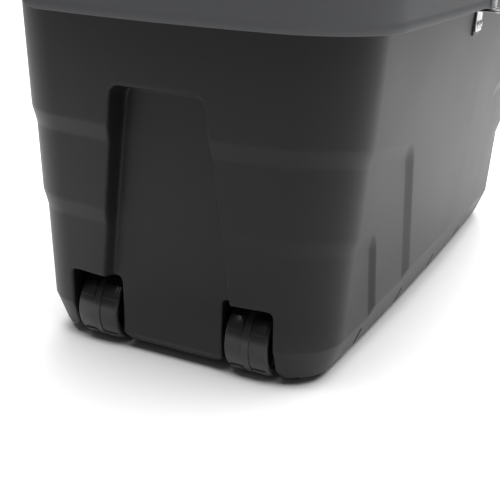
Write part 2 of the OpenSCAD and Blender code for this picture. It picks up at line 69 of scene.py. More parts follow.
def ramp(value: float, rounding: float = 0.13) -> float:
    """Return value held between 0 and 1, with both corners rounded."""
    return soft(value, rounding) - soft(value - 1, rounding)


def soft_max(first: float, second: float, radius: float) -> float:
    """Return the larger value, with the change between them rounded."""
    return second + soft(first - second, radius)


def mix(start: float, end: float, share: float) -> float:
    """Return the value that lies a share of the way from start to end."""
    return start + (end - start) * share


def smooth(value: float) -> float:
    """Return a smooth step of a value held between 0 and 1."""
    held = min(1.0, max(0.0, value))
    return held * held * (3 - 2 * held)


def round_min(first: float, second: float, radius: float) -> float:
    """Return the smaller distance, with the corner between them rounded."""
    if first < radius and second < radius:
        return radius - math.hypot(radius - first, radius - second)
    return min(first, second)


# ----------------------------------------------------------------- mesh helpers
class Maker:
    """Builds one mesh with bmesh operators and hands it over as a piece."""

    def __init__(self) -> None:
        """Start an empty mesh whose vertices remember their column."""
        self.bm = bmesh.new()
        self.column = self.bm.verts.layers.int.new("column")

    def place(self, verts: Iterable[bmesh.types.BMVert], ring: Ring) -> None:
        """Move vertices to a ring's points, given in millimetres."""
        for vert in verts:
            vert.co = Vector(ring(vert[self.column])) * MM

    def stack(self, count: int, rings: Sequence[Ring], closed: bool = True) -> None:
        """Extrude one loop of vertices through a series of rings.

        Args:
            count: Number of vertices round the loop.
            rings: One function for each ring, from column to point.
            closed: Whether both open ends are filled with a face.
        """
        made = bmesh.ops.create_circle(self.bm, cap_ends=False, segments=count, radius=1.0)
        for index, vert in enumerate(made["verts"]):
            vert[self.column] = index
        self.place(made["verts"], rings[0])
        edges = list({edge for vert in made["verts"] for edge in vert.link_edges})
        first = list(edges)
        faces: list[bmesh.types.BMFace] = []
        for ring in rings[1:]:
            grown = bmesh.ops.extrude_edge_only(self.bm, edges=edges)["geom"]
            self.place([g for g in grown if isinstance(g, bmesh.types.BMVert)], ring)
            edges = [g for g in grown if isinstance(g, bmesh.types.BMEdge)]
            faces += [g for g in grown if isinstance(g, bmesh.types.BMFace)]
        if closed:
            for loop in (first, edges):
                faces += bmesh.ops.contextual_create(self.bm, geom=loop)["faces"]
        bmesh.ops.recalc_face_normals(self.bm, faces=faces)

    def block(self, low: Sequence[float], high: Sequence[float], bevel: float = 0.0) -> None:
        """Add a box between two corners, with its edges rounded."""
        made = bmesh.ops.create_cube(self.bm, size=1.0)["verts"]
        size = [b - a for a, b in zip(low, high)]
        middle = [(a + b) / 2 for a, b in zip(low, high)]
        for vert in made:
            vert.co = Vector([(m + s * c) * MM for m, s, c in zip(middle, size, vert.co)])
        if bevel:
            self.round_edges({e for v in made for e in v.link_edges}, bevel)

    def round_edges(self, edges: Iterable[bmesh.types.BMEdge], width: float, segments: int = 3) -> None:
        """Round edges with a bevel of a width in millimetres."""
        bmesh.ops.bevel(
            self.bm, geom=list(edges), offset=width * MM, offset_type="OFFSET", segments=segments,
            profile=0.5, affect="EDGES", material=-1, clamp_overlap=True,
        )

    def turned(self, profile: Sequence[Point], place: Matrix, steps: int = 48, angle: float = 360.0) -> list:
        """Spin a closed profile of (radius, height) points about Z, then place it.

        Args:
            profile: Points round the cross-section, in millimetres.
            place: Where the turned shape's Z axis goes, in millimetres.
            steps: Number of steps round the turn.
            angle: Degrees of the turn.

        Returns:
            The vertices of the turned shape.
        """
        verts = [self.bm.verts.new((r, 0, h)) for r, h in profile]
        face = self.bm.faces.new(verts)
        full = angle > 359
        before = set(self.bm.verts) - set(verts)
        geom = [face] if not full else list(face.edges)
        bmesh.ops.spin(
            self.bm, geom=geom + verts, cent=(0, 0, 0), axis=(0, 0, 1), angle=math.radians(angle),
            steps=steps, use_merge=full, use_duplicate=False,
        )
        if full:
            self.bm.faces.remove(face)
        made = [v for v in self.bm.verts if v not in before]
        faces = list({f for v in made for f in v.link_faces})
        bmesh.ops.recalc_face_normals(self.bm, faces=faces)
        bmesh.ops.transform(self.bm, matrix=Matrix.Scale(MM, 4) @ place, verts=made)
        return made

    def add_copy(self, node: str) -> None:
        """Add a merged copy of a CAD node's mesh."""
        self.bm.from_mesh(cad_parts[node].data)
        bmesh.ops.remove_doubles(self.bm, verts=self.bm.verts, dist=1e-6)

    def finish(self, name: str, body: str, material: bpy.types.Material,
               nodes: Sequence[str] = (), sharp: float = 35.0) -> bpy.types.Object:
        """Turn the mesh into a piece that rides on a body.

        Args:
            name: The piece's name.
            body: CAD body that the piece moves with.
            material: Finish of the whole piece.
            nodes: CAD nodes that the piece stands for.
            sharp: Edges steeper than this many degrees stay crisp.

        Returns:
            The finished object.
        """
        limit = math.radians(sharp)
        for face in self.bm.faces:
            face.smooth = True
        for edge in self.bm.edges:
            edge.smooth = len(edge.link_faces) == 2 and edge.calc_face_angle(0.0) < limit
        mesh = bpy.data.meshes.new(name)
        self.bm.to_mesh(mesh)
        self.bm.free()
        mesh.materials.append(material)
        piece = bpy.data.objects.new(name, mesh)
        bpy.context.scene.collection.objects.link(piece)
        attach(piece, body)
        if nodes:
            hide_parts(*nodes)
        LOG.info("%s: %d faces on %s", name, len(mesh.polygons), body)
        return piece


def turn_to(origin: Sequence[float], axis: Sequence[float]) -> Matrix:
    """Return the placing that takes +Z to an axis at an origin in millimetres."""
    return Matrix.Translation(Vector(origin)) @ Vector(axis).to_track_quat("Z", "Y").to_matrix().to_4x4()


# ------------------------------------------------------------------- materials
class Slot(Enum):
    """Material slots of the record."""

    TUB = "tub_resin"
    LID = "lid_resin"
    WHEEL = "wheel_plastic"
    FOOT = "foot_rubber"
    STEEL = "steel"


class Group:
    """A shader node group with named inputs and outputs."""

    def __init__(self, name: str, inputs: dict[str, float], outputs: dict[str, str]) -> None:
        """Make the group and its sockets."""
        self.tree = bpy.data.node_groups.new(name, "ShaderNodeTree")
        for label, value in inputs.items():
            socket = self.tree.interface.new_socket(label, in_out="INPUT", socket_type="NodeSocketFloat")
            socket.default_value = value
        for label, kind in outputs.items():
            self.tree.interface.new_socket(label, in_out="OUTPUT", socket_type=kind)
        self.start = self.tree.nodes.new("NodeGroupInput")
        self.end = self.tree.nodes.new("NodeGroupOutput")

        self.place = self.node("ShaderNodeTexCoord").outputs["Object"]

    def node(self, kind: str, **values: object) -> bpy.types.Node:
        """Add a node and set its fields or its sockets by name."""
        return add_node(self.tree, kind, **values)

    def link(self, start: bpy.types.NodeSocket, end: bpy.types.NodeSocket) -> None:
        """Link two sockets."""
        self.tree.links.new(start, end)

    def pattern(self, kind: str, output: str, **values: object) -> bpy.types.NodeSocket:
        """Add a pattern laid out in the piece's own space and return one output."""
        node = self.node(kind, **values)
        self.link(self.place, node.inputs["Vector"])
        return node.outputs[output]

    def maths(self, operation: str, *terms: object, clamp: bool = False) -> bpy.types.NodeSocket:
        """Add a maths step on numbers and sockets, and return its output."""
        node = self.node("ShaderNodeMath", operation=operation, use_clamp=clamp)
        for socket, term in zip(node.inputs, terms):
            if isinstance(term, float):
                socket.default_value = term
            else:
                self.link(term, socket)
        return node.outputs[0]


def add_node(tree: bpy.types.NodeTree, kind: str, **values: object) -> bpy.types.Node:
    """Add a shader node and set its fields, or its sockets by name.

    Args:
        tree: The tree that gets the node.
        kind: Blender's name for the node's type.
        values: Fields of the node, or sockets with spaces as underscores.

    Returns:
        The new node.
    """
    node = tree.nodes.new(kind)
    for key, value in values.items():
        if hasattr(node, key):
            setattr(node, key, value)
        else:
            node.inputs[key.replace("_", " ")].default_value = value
    return node


def make_grain() -> Group:
    """Return the fine pebble grain that a spark-eroded mould leaves."""
    outputs = {"Height": "NodeSocketFloat", "Mottle": "NodeSocketFloat"}
    group = Group("moulded_grain", {"Size": 0.9, "Flow": 0.35}, outputs)
    pebble = group.pattern("ShaderNodeTexVoronoi", "Distance", feature="SMOOTH_F1", Smoothness=0.6)
    group.link(group.maths("DIVIDE", 1000.0, group.start.outputs["Size"]), pebble.node.inputs["Scale"])
    fine = group.pattern("ShaderNodeTexNoise", "Fac", Scale=2600.0, Detail=2.0)
    group.link(group.maths("MULTIPLY_ADD", fine, 0.35, pebble), group.end.inputs["Height"])
    broad = group.pattern("ShaderNodeTexNoise", "Fac", Scale=5.5, Detail=5.0, Roughness=0.55, Distortion=0.6)
    centred = group.maths("SUBTRACT", broad, 0.5)
    spread = group.maths("MULTIPLY_ADD", centred, group.start.outputs["Flow"], 0.5)
    group.link(spread, group.end.inputs["Mottle"])
    return group


def make_wear() -> Group:
    """Return a mask of rubbed convex edges, broken up by noise."""
    group = Group("edge_wear", {"Start": 0.52, "Reach": 12.0, "Break": 0.6}, {"Mask": "NodeSocketFloat"})
    start, reach, breaking = (group.start.outputs[label] for label in ("Start", "Reach", "Break"))
    shape = group.node("ShaderNodeNewGeometry").outputs["Pointiness"]
    convex = group.maths("MULTIPLY", group.maths("SUBTRACT", shape, start), reach, clamp=True)
    patch = group.pattern("ShaderNodeTexNoise", "Fac", Scale=38.0, Detail=6.0, Roughness=0.65)
    broken = group.node("ShaderNodeMix", data_type="FLOAT")
    broken.inputs["A"].default_value = 1.0
    group.link(breaking, broken.inputs["Factor"])
    group.link(group.maths("MULTIPLY_ADD", patch, 2.2, -0.75, clamp=True), broken.inputs["B"])
    mask = group.maths("MULTIPLY", convex, broken.outputs["Result"], clamp=True)
    group.link(mask, group.end.inputs["Mask"])
    return group


def make_dust() -> Group:
    """Return a mask of pale dust that gathers near the ground."""
    group = Group("ground_dust", {"Reach": 0.09, "Amount": 0.3}, {"Mask": "NodeSocketFloat"})
    split = group.node("ShaderNodeSeparateXYZ")
    group.link(group.place, split.inputs[0])
    height = group.maths("DIVIDE", split.outputs["Z"], group.start.outputs["Reach"])
    low = group.maths("SUBTRACT", 1.0, height, clamp=True)
    speck = group.pattern("ShaderNodeTexNoise", "Fac", Scale=60.0, Detail=7.0, Roughness=0.7)
    broken = group.maths("MULTIPLY", low, speck)
    mask = group.maths("MULTIPLY", broken, group.start.outputs["Amount"], clamp=True)
    group.link(mask, group.end.inputs["Mask"])
    return group


class Effects:
    """The shared node groups, each built once."""

    def __init__(self) -> None:
        """Build the groups."""
        self.grain = make_grain()
        self.wear = make_wear()
        self.dust = make_dust()


@dataclass(frozen=True)
class PlasticFinish:
    """A moulded plastic or rubber: colour, grain, rubbed edges and dust."""

    name: str
    colour: tuple[float, float, float]
    mottled: tuple[float, float, float]
    worn: tuple[float, float, float]
    roughness: float
    grain_size: float
    grain_depth: float
    wear: float
    dust: float
    specular: float = 0.5

    def build(self, effects: Effects) -> bpy.types.Material:
        """Return the finish as a material."""
        material = bpy.data.materials.new(self.name)
        material.use_nodes = True
        tree = material.node_tree
        shader = tree.nodes["Principled BSDF"]
        shader.inputs["Specular IOR Level"].default_value = self.specular
        grain = self.use(tree, effects.grain, Size=self.grain_size)
        wear = self.use(tree, effects.wear)
        dust = self.use(tree, effects.dust, Amount=self.dust)
        base = self.blend(tree, grain.outputs["Mottle"], self.colour, self.mottled)
        rubbed = add_node(tree, "ShaderNodeMath", operation="MULTIPLY")
        rubbed.inputs[1].default_value = self.wear
        tree.links.new(wear.outputs["Mask"], rubbed.inputs[0])
        edged = self.blend(tree, rubbed.outputs[0], base, self.worn)
        dusty = self.blend(tree, dust.outputs["Mask"], edged, (0.32, 0.30, 0.27))
        tree.links.new(dusty, shader.inputs["Base Color"])
        rough = add_node(tree, "ShaderNodeMapRange", From_Min=0.2, From_Max=0.8,
                         To_Min=self.roughness - 0.05, To_Max=self.roughness + 0.07)
        tree.links.new(grain.outputs["Mottle"], rough.inputs["Value"])
        matted = add_node(tree, "ShaderNodeMath", operation="MULTIPLY_ADD", use_clamp=True)
        matted.inputs[1].default_value = 0.35
        tree.links.new(dust.outputs["Mask"], matted.inputs[0])
        tree.links.new(rough.outputs["Result"], matted.inputs[2])
        tree.links.new(matted.outputs[0], shader.inputs["Roughness"])
        bump = add_node(tree, "ShaderNodeBump", Strength=1.0, Distance=self.grain_depth * MM)
        tree.links.new(grain.outputs["Height"], bump.inputs["Height"])
        tree.links.new(bump.outputs["Normal"], shader.inputs["Normal"])
        return material

    @staticmethod
    def use(tree: bpy.types.NodeTree, group: Group, **values: float) -> bpy.types.Node:
        """Place a shared group in a material with its own values."""
        node = tree.nodes.new("ShaderNodeGroup")
        node.node_tree = group.tree
        for key, value in values.items():
            node.inputs[key].default_value = value
        return node

    @staticmethod
    def blend(tree: bpy.types.NodeTree, mask: bpy.types.NodeSocket, first: object,
              second: object) -> bpy.types.NodeSocket:
        """Mix two colours, or colour sockets, by a mask."""
        node = add_node(tree, "ShaderNodeMix", data_type="RGBA")
        tree.links.new(mask, node.inputs["Factor"])
        for socket, value in ((node.inputs[6], first), (node.inputs[7], second)):
            if isinstance(value, tuple):
                socket.default_value = (*value, 1.0)
            else:
                tree.links.new(value, socket)
        return node.outputs[2]


@dataclass(frozen=True)
class SteelFinish:
    """Zinc-plated steel with a drawn grain and small dull spots."""

    name: str = "zinc_plated_steel"
    bright: tuple[float, float, float] = (0.60, 0.60, 0.61)
    dull: tuple[float, float, float] = (0.42, 0.43, 0.45)
    roughness: float = 0.30

    def build(self, effects: Effects) -> bpy.types.Material:
        """Return the finish as a material."""
        material = bpy.data.materials.new(self.name)
        material.use_nodes = True
        tree = material.node_tree
        shader = tree.nodes["Principled BSDF"]
        shader.inputs["Metallic"].default_value = 1.0
        place = add_node(tree, "ShaderNodeTexCoord")
        stretch = add_node(tree, "ShaderNodeMapping")
        stretch.inputs["Scale"].default_value = (60.0, 900.0, 900.0)
        tree.links.new(place.outputs["Object"], stretch.inputs["Vector"])
        drawn = add_node(tree, "ShaderNodeTexNoise", Scale=1.6, Detail=3.0)
        tree.links.new(stretch.outputs["Vector"], drawn.inputs["Vector"])
        spots = add_node(tree, "ShaderNodeTexNoise", Scale=170.0, Detail=5.0, Roughness=0.6)
        tree.links.new(place.outputs["Object"], spots.inputs["Vector"])
        colour = PlasticFinish.blend(tree, spots.outputs["Fac"], self.bright, self.dull)
        wear = PlasticFinish.use(tree, effects.wear)
        edged = PlasticFinish.blend(tree, wear.outputs["Mask"], colour, (0.72, 0.72, 0.73))
        tree.links.new(edged, shader.inputs["Base Color"])
        rough = add_node(tree, "ShaderNodeMapRange", From_Min=0.3, From_Max=0.7,
                         To_Min=self.roughness - 0.07, To_Max=self.roughness + 0.14)
        tree.links.new(drawn.outputs["Fac"], rough.inputs["Value"])
        tree.links.new(rough.outputs["Result"], shader.inputs["Roughness"])
        bump = add_node(tree, "ShaderNodeBump", Strength=0.5, Distance=0.05 * MM)
        tree.links.new(drawn.outputs["Fac"], bump.inputs["Height"])
        tree.links.new(bump.outputs["Normal"], shader.inputs["Normal"])
        return material


class Finishes:
    """Every finish of the box, built once."""

    def __init__(self) -> None:
        """Build the materials."""
        effects = Effects()
        self.tub = PlasticFinish(
            "charcoal_resin_tub", (0.0035, 0.0036, 0.0039), (0.0055, 0.0056, 0.0061), (0.035, 0.035, 0.037),
            0.40, 0.9, 0.05, 0.35, 0.10, 0.24).build(effects)
        self.lid = PlasticFinish(
            "charcoal_resin_lid", (0.042, 0.043, 0.046), (0.055, 0.056, 0.059), (0.12, 0.12, 0.123),
            0.54, 1.1, 0.07, 0.35, 0.0).build(effects)
        self.wheel = PlasticFinish(
            "black_wheel_plastic", (0.004, 0.004, 0.0044), (0.007, 0.007, 0.0075), (0.05, 0.05, 0.052),
            0.27, 0.7, 0.02, 0.5, 0.15, 0.36).build(effects)
        self.rubber = PlasticFinish(
            "foot_rubber_black", (0.016, 0.016, 0.017), (0.024, 0.024, 0.025), (0.06, 0.06, 0.06),
            0.75, 0.6, 0.04, 0.3, 0.3, 0.3).build(effects)
        self.steel = SteelFinish().build(effects)


# ------------------------------------------------------------------ plan outline
class Plan:
    """Plan outline: an arc across each end, an arc along each side, round corners."""

    half_l = 508.0
    half_w = 240.0
    corner_r = 86.0
    end_bow = 27.0
    side_bow = 10.0

    def __init__(self) -> None:
        """Work out the arcs' centres and the corner's angles."""
        self.end_r = (self.half_w**2 + self.end_bow**2) / (2 * self.end_bow)
        self.side_r = (self.half_l**2 + self.side_bow**2) / (2 * self.side_bow)
        self.end_c = self.half_l - self.end_r
        self.side_c = self.half_w - self.side_r
        reach_e = self.end_r - self.corner_r
        reach_s = self.side_r - self.corner_r
        apart = math.hypot(self.end_c, self.side_c)
        along = (reach_e**2 - reach_s**2 + apart**2) / (2 * apart)
        across = math.sqrt(reach_e**2 - along**2)
        ux, uy = -self.end_c / apart, self.side_c / apart
        self.corner = (self.end_c + along * ux - across * uy, along * uy + across * ux)
        self.turn_from = math.atan2(self.corner[1], self.corner[0] - self.end_c)
        self.turn_to = math.atan2(self.corner[1] - self.side_c, self.corner[0])

    def end_x(self, y: float, out: float) -> float:
        """Return x on the end arc, or on the corner past its start, for a y."""
        radius = self.corner_r + out
        if y <= self.corner[1] + radius * math.sin(self.turn_from):
            return self.end_c + math.sqrt((self.end_r + out) ** 2 - y * y)
        return self.corner[0] + math.sqrt(radius**2 - (y - self.corner[1]) ** 2)

    def side_y(self, x: float, out: float) -> float:
        """Return y on the side arc for an x."""
        return self.side_c + math.sqrt((self.side_r + out) ** 2 - x * x)

    def corner_pt(self, angle: float, out: float) -> Point:
        """Return a point on the corner arc at an angle in radians."""
        radius = self.corner_r + out
        return self.corner[0] + radius * math.cos(angle), self.corner[1] + radius * math.sin(angle)


    def round_pt(self, share: float, start: float, out: float) -> Point:
        """Return a point a share of the way from an end's y round to the side."""
        radius = self.corner_r + out
        turn = self.corner[1] + radius * math.sin(self.turn_from)
        straight = max(0.0, turn - start)
        first = self.turn_from if straight else math.asin((start - self.corner[1]) / radius)
        along = share * (straight + radius * (self.turn_to - first))
        if along < straight:
            y = start + along
            return self.end_c + math.sqrt((self.end_r + out) ** 2 - y * y), y
        return self.corner_pt(first + (along - straight) / radius, out)


PLAN = Plan()


class Kind(Enum):
    """Which stretch of the outline a column stands on."""

    END = "end"
    CORNER = "corner"
    SIDE = "side"


@dataclass(frozen=True)
class Column:
    """One upright line of vertices on the tub's wall.

    low and high are its place near the foot and on the panels: a y on the ends,
    a share of the way round the corner and an x on the sides. lean is how much
    it follows a panel's edge, and upper is the share of the upper panel in that.
    """

    kind: Kind
    low: float
    high: float = 0.0
    lean: float = 0.0
    upper: float = 0.0
    cluster: str = ""
    end: int = 1
    side: int = 1


class TubForm:
    """The tub's wall as a function of height and of place round the outline."""

    floor_z = 12.0
    rim_z = 505.0
    draft = 0.055
    wall = 3.5
    step = 5.0
    step_h = 23.0
    upper_z = 335.0
    lower_z = 216.0
    upper_half = 153.0
    lower_half = 289.0
    panel_lean = 0.33
    line_fall = 0.15
    line_from = 478.0
    line_reach = 188.0
    line_foot = 193.0
    line_end = 475.0
    upper_w = 22.0
    lower_w = 15.0
    turn = 1.35
    tuck_z = 89.0
    tuck_slope = 0.32
    notch_w = 7.0
    notch_depth = 4.0
    notch_top = 42.0
    notch_xs = (-331.0, -153.0, 25.0, 203.0, 381.0)
    recess_half = 110.0
    recess_taper = 0.11
    recess_x = 480.5
    recess_lean = 0.04
    recess_foot = 28.0
    recess_foot_lean = 0.7
    recess_top = 388.0
    cheek = 7.0
    ledge = 6.0
    well_y = 117.0
    well_half = 38.5
    well_roof = 112.0
    well_back = 380.0
    mouth_r = 4.0
    flare_w = 24.0
    flare_h = 15.0
    mouth_edge = 159.5

    def lean(self, z: float, inset: float = 0.0) -> float:
        """Return the outward offset of the drafted wall at a height."""
        return self.draft * z - inset

    def sunk(self, x: float, z: float) -> float:
        """Return how far a ring sinks at a place, so that the step lines fall."""
        up = min(1.0, max(0.0, (z - self.tuck_z) / (self.line_foot - self.tuck_z)))
        down = min(1.0, max(0.0, (self.line_end - z) / (self.line_end - self.upper_z)))
        return self.line_fall * min(self.line_reach, max(0.0, self.line_from - abs(x))) * min(up, down)

    def panel_edge(self, upper: bool, z: float) -> float:
        """Return how far a panel's half length has grown at a height."""
        top, place = (self.upper_z, 0.0) if upper else (self.lower_z, self.lower_half + self.lower_w)
        low = min(z, top)
        return self.panel_lean * (low - self.sunk(place, low))

    def steps_down(self, x: float, z: float, turned: bool) -> float:
        """Return the inset of the stepped panels at a place on the wall."""
        total = 0.0
        upper = (self.upper_z, self.upper_half, self.upper_w)
        lower = (self.lower_z, self.lower_half, self.lower_w)
        for top, half, width in (upper, lower):
            fall = (top - z) / self.step_h
            if not turned:
                edge = half + self.panel_edge(top == self.upper_z, z)
                fall = round_min(fall, (abs(x) - edge) / width, self.turn)
            total += self.step * ramp(fall)
        return total

    def tuck(self, z: float) -> float:
        """Return the inset of the tucked foot at a height."""
        return self.tuck_slope * soft(self.tuck_z - z, 1.0)

    def wall_out(self, x: float, z: float, turned: bool = False) -> float:
        """Return the wall's outward offset, with its steps and its foot."""
        height = z - self.sunk(x, z)
        return self.lean(height, soft_max(self.steps_down(x, z, turned), self.tuck(height), 0.35))

    def recess_edge(self, z: float) -> float:
        """Return the half width of the lifting recess at a height."""
        return self.recess_half - self.recess_taper * z

    def mouth_flare(self, z: float) -> float:
        """Return how far the foot of a well's mouth opens out at a height."""
        up = (z - self.floor_z) / self.flare_h
        if up >= 1:
            return 0.0
        return self.flare_w * (1 - math.sqrt(1 - (1 - max(up, 0.0)) ** 2))

    def end_face(self, y: float, z: float, grow: float, wheels: bool) -> float:
        """Return how far out the end wall stands at a place.

        Args:
            y: Distance from the box's middle line.
            z: Height.
            grow: Distance inside the outer face, for the inner wall.
            wheels: Whether this end has the wheel wells.

        Returns:
            The distance from the middle of the box, along its length.
        """
        face = PLAN.end_x(y, self.wall_out(PLAN.half_l, z, True) - grow)
        side = (self.recess_edge(z) + grow - y) / self.cheek
        top = (self.recess_top + grow - z) / self.ledge
        share = ramp(round_min(side, top, 2.2), 0.22)
        chamfer = self.recess_foot_lean * soft(self.recess_foot + grow - z, 1.2)
        deep = min(face, self.recess_x + self.recess_lean * z - grow - chamfer)
        face = mix(face, deep, share)
        if not wheels:
            return face
        half = self.well_half + grow + self.mouth_flare(z - grow)
        inside = round_min(half - abs(y - self.well_y), self.well_roof + grow - z, 9.0)
        return self.into_well(face, inside, self.well_back - grow)

    def into_well(self, face: float, inside: float, back: float) -> float:
        """Return the wall's place at a distance inside a well's mouth."""
        r = self.mouth_r
        if inside <= -r:
            return face
        if inside < 0:
            return face - (r - math.sqrt(max(0.0, r * r - (inside + r) ** 2)))
        return mix(face - r, back, min(1.0, inside / 2.0))

    def side_face(self, x: float, z: float, grow: float) -> float:
        """Return how far out the long wall stands at a place."""
        out = self.wall_out(x, z) - grow
        if grow:
            return PLAN.side_y(x, out - (self.notch_depth if z < self.notch_top + 8 else 0.0))
        for middle in self.notch_xs:
            across = (self.notch_w / 2 + 0.25 - abs(x - middle)) / 0.5
            down = (self.notch_top + 0.4 - z) / 0.8
            out -= self.notch_depth * min(1.0, max(0.0, min(across, down)))
        return PLAN.side_y(x, out)

    def spot(self, column: Column, z: float, grow: float) -> Point:
        """Return the plan point of a column at a height."""
        if column.kind is Kind.CORNER:
            start = self.mouth_edge + grow + self.mouth_flare(z - grow)
            x, y = PLAN.round_pt(column.low, start, self.wall_out(PLAN.half_l, z, True) - grow)
            x, y = PLAN.round_pt(column.low, start, self.wall_out(x, z, True) - grow)
        elif column.kind is Kind.END:
            y = self.end_y(column, z, grow)
            x = self.end_face(y, z, grow, column.end < 0)
        else:
            along = mix(column.low, self.along_at(column, z), smooth((z - 43.0) / 13.0))
            return along, column.side * self.side_face(along, z, grow)
        return column.end * x, column.side * y

    def along_at(self, column: Column, z: float) -> float:
        """Return the x of a side column where it follows a panel's edge."""
        grown = mix(self.panel_edge(False, z), self.panel_edge(True, z), column.upper)
        return column.high + math.copysign(grown, column.high) * column.lean

    def end_y(self, column: Column, z: float, grow: float) -> float:
        """Return a column's y on an end at a height."""
        knee = self.well_roof + self.mouth_r
        edge = self.recess_edge(z) + grow
        if column.cluster == "cheek":
            return edge + column.low
        flare = self.mouth_flare(z - grow)
        if column.cluster == "inner":
            low = column.low - (flare + grow) * min(1.0, column.low / 70.0)
            return low * self.recess_edge(max(z, knee)) / self.recess_edge(knee)
        low = column.low + (flare + grow) * min(1.0, (column.low - 115.0) / 35.0)
        far = self.mouth_edge + flare + grow
        ratio = (far - self.recess_edge(max(z, knee))) / (far - self.recess_edge(knee))
        return far - (far - low) * ratio


class Tub(TubForm):
    """Builds the tub as one closed skin, outside and inside."""

    rim_reach = 14.0
    rim_lip = 18.0
    lip_w = 4.0
    bottom_r = 4.0
    mouth_offsets = (-4.0, -3.2, -2.2, -1.2, -0.5, 0.0, 0.35, 0.8, 1.3, 2.0)
    cheek_offsets = (-12.0, -9.5, -8.0, -7.0, -6.0, -4.5, -2.5, -1.0, 0.0, 1.0, 2.5, 5.0)
    step_offsets = (-6.0, -3.0, -1.2, 0.4, 2.2, 0.35, 0.65, -2.2, -0.4, 1.2, 3.0, 6.0)
    notch_offsets = (-7.0, -5.0, -4.2, -3.8, -3.25, -1.2, 1.2, 3.25, 3.8, 4.2, 5.0, 7.0)

    def end_columns(self, end: int) -> list[Column]:
        """Return the columns from the middle of an end to its corner."""
        inner = [0.0, 16.0, 32.0, 46.0, 58.0, 68.0]
        inner += [self.well_y - self.well_half + d for d in self.mouth_offsets]
        outer = [118.0, 126.0, 135.0, 144.0]
        outer += [self.well_y + self.well_half - d for d in reversed(self.mouth_offsets)]
        columns = [Column(Kind.END, y, cluster="inner", end=end) for y in inner]
        columns += [Column(Kind.END, y, cluster="cheek", end=end) for y in self.cheek_offsets]
        columns += [Column(Kind.END, y, cluster="outer", end=end) for y in outer]
        steps = 22
        return columns + [Column(Kind.CORNER, k / steps, end=end) for k in range(1, steps + 1)]

    def side_columns(self) -> list[Column]:
        """Return the columns of one long side, from the +X end to the other."""
        def panel(half: float, width: float, sign: int) -> list[float]:
            marks = []
            for index, offset in enumerate(self.step_offsets):
                if index < 5:
                    marks.append(half + offset)
                elif index < 7:
                    marks.append(half + width * offset)
                else:
                    marks.append(half + width + offset)
            return [m * sign for m in marks]

        def notch(middle: float) -> list[float]:
            return [middle + offset for offset in self.notch_offsets]

        notch_a, notch_b, notch_c, notch_d, notch_e = self.notch_xs
        made: list[Column] = []

        def cluster(low: Sequence[float], high: Sequence[float], lean: float, upper: float) -> None:
            for near, far in zip(sorted(low, reverse=True), sorted(high, reverse=True)):
                made.append(Column(Kind.SIDE, near, far, lean, upper))

        def fill(low: float, high: float, count: int, lean: float, upper: float) -> None:
            last = made[-1]
            for k in range(1, count + 1):
                share = k / (count + 1)
                made.append(Column(Kind.SIDE, mix(last.low, low, share), mix(last.high, high, share),
                                   mix(last.lean, lean, share), mix(last.upper, upper, share)))

        lower, upper = self.lower_half, self.upper_half
        cluster(notch(notch_e), panel(lower, self.lower_w, 1), 1.0, 0.0)
        fill(notch_d + 7, upper + self.upper_w + 6, 6, 1.0, 1.0)
        cluster(notch(notch_d), panel(upper, self.upper_w, 1), 1.0, 1.0)
        fill(notch_c + 7, notch_c + 7, 5, 0.0, 1.0)
        cluster(notch(notch_c), notch(notch_c), 0.0, 1.0)
        fill(notch_b + 7, 6 - upper, 6, 1.0, 1.0)
        cluster(notch(notch_b), panel(upper, self.upper_w, -1), 1.0, 1.0)
        fill(notch_a + 7, 6 - lower, 6, 1.0, 0.0)
        cluster(notch(notch_a), panel(lower, self.lower_w, -1), 1.0, 0.0)
        return made

    def columns(self) -> list[Column]:
        """Return every column round the tub, from the +X end towards +Y."""
        near, far = self.end_columns(1), self.end_columns(-1)
        half = near + self.side_columns() + far[::-1]
        back = [replace(c, side=-1) for c in half[-2:0:-1]]
        return half + back

    def wall_rows(self) -> list[float]:
        """Return the heights of the rings up the outside of the wall."""
        rows = [
            16, 18, 20.5, 23, 25.5, 27, 28, 29, 30.5, 33, 36, 39, 41.2, 41.7, 42.3, 42.9, 45, 48, 51, 54,
            56, 57.2, 58.2, 60, 63, 67, 71, 72.6, 73.6, 74.8, 78, 82, 86, 87.6, 88.6, 89.6, 91, 95, 101,
            106, 109, 110, 110.7, 111.2, 111.65, 112, 112.5, 113.2, 114.2, 115.2, 116, 120, 127, 138,
            152, 167, 180, 187, 190, 191.6, 193, 194.6, 197, 201, 205, 209, 212, 214.4, 216, 217.4, 219,
            223, 232, 246, 262, 280, 296, 304, 308, 310.4, 312, 313.6, 316, 320, 324.5, 329, 332, 333.8,
            335, 336.4, 339, 345, 354, 364, 372, 377, 379.6, 381.2, 382.6, 384.2, 386, 387.6, 388.8, 391,
            396, 406, 425, 445, 465, 482, 494,
        ]
        return [float(z) for z in rows]

    def inner_rows(self) -> list[float]:
        """Return the heights of the rings down the inside of the wall."""
        return [
            496, 460, 420, 396, 391, 388, 385, 381, 370, 350, 339, 335, 326, 316, 312, 306, 270, 235,
            220, 216, 205, 195, 190, 170, 145, 125, 117, 116, 115.5, 114.5, 113.5, 110, 95, 89, 86, 73,
            60, 52, 48, 40, 32, 28, 24, 20,
        ]

    def ring_at(self, columns: Sequence[Column], z: float, grow: float, shrink: float = 0.0) -> Ring:
        """Return the ring of a height, drawn in by a distance along its normals."""
        points = [self.spot(c, z, grow) for c in columns]
        heights = [z if c.kind is Kind.END else z - self.sunk(x, z) for c, (x, _) in zip(columns, points)]
        if shrink:
            count = len(points)
            moved = []
            for k, (x, y) in enumerate(points):
                before, after = points[k - 2], points[(k + 2) % count]
                dx, dy = after[0] - before[0], after[1] - before[1]
                length = math.hypot(dx, dy) or 1.0
                moved.append((x - dy / length * shrink, y + dx / length * shrink))
            points = moved
        return lambda k: (*points[k], heights[k])

